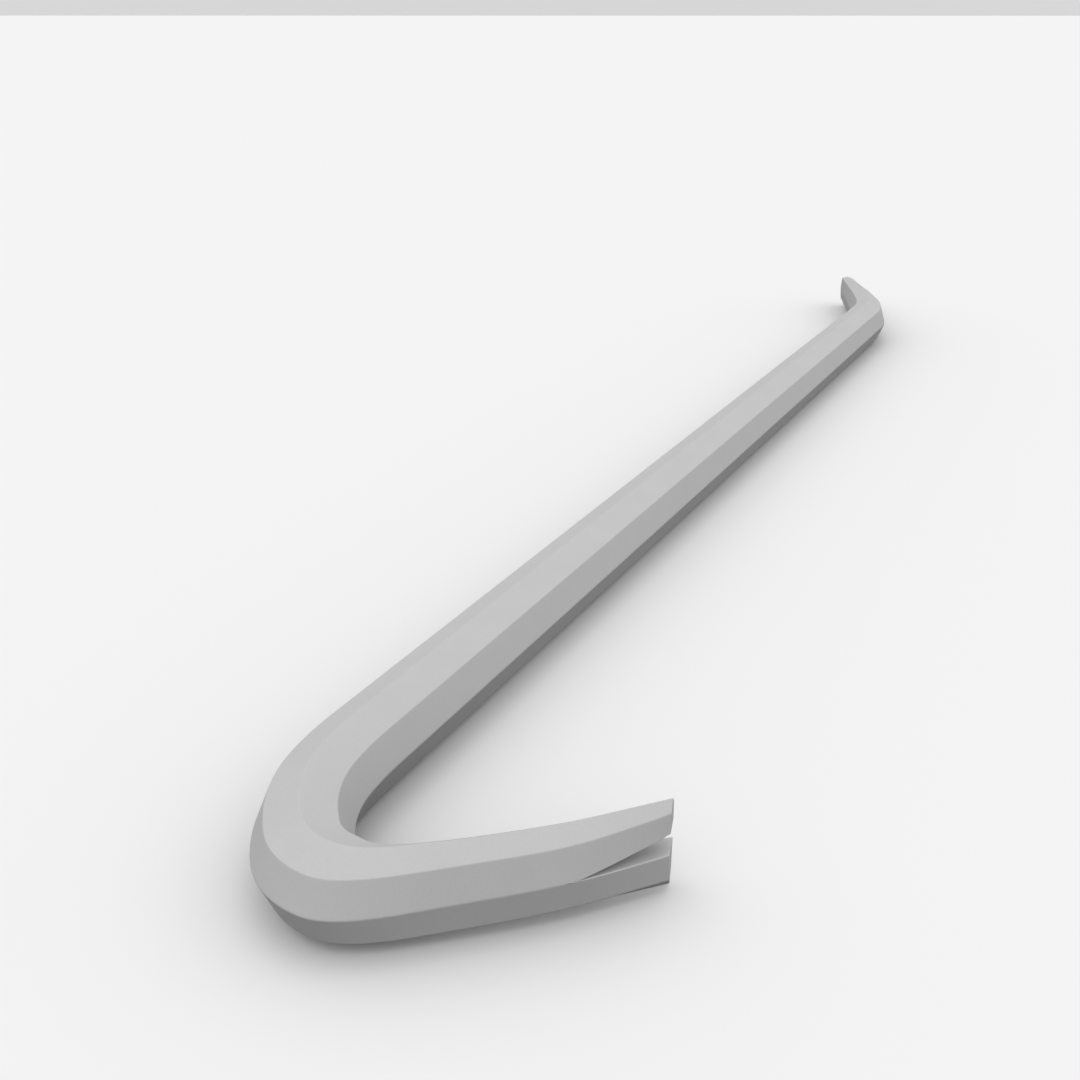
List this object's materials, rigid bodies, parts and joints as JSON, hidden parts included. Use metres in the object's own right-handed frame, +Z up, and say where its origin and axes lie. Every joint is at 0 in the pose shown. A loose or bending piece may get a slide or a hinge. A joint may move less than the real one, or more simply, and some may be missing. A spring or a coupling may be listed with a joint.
{
  "type": "gooseneck wrecking bar",
  "caption": "Octagonal steel wrecking bar lying on its side, with a gooseneck hook that ends in a slotted nail claw and an angled chisel at the other end.",
  "frame": {"origin": "centre of the bounding box's bottom face, on the surface the bar lies on", "axes": "+Y along the shaft from the hook to the chisel end, +X towards the side on which the hook opens, +Z up"},
  "size_m": [0.1076, 0.6142, 0.0205],
  "materials": {
    "forged_steel": "matte light grey"
  },
  "bodies": {
    "root": {"forged_bar": "forged_steel"}
  },
  "joints": []
}
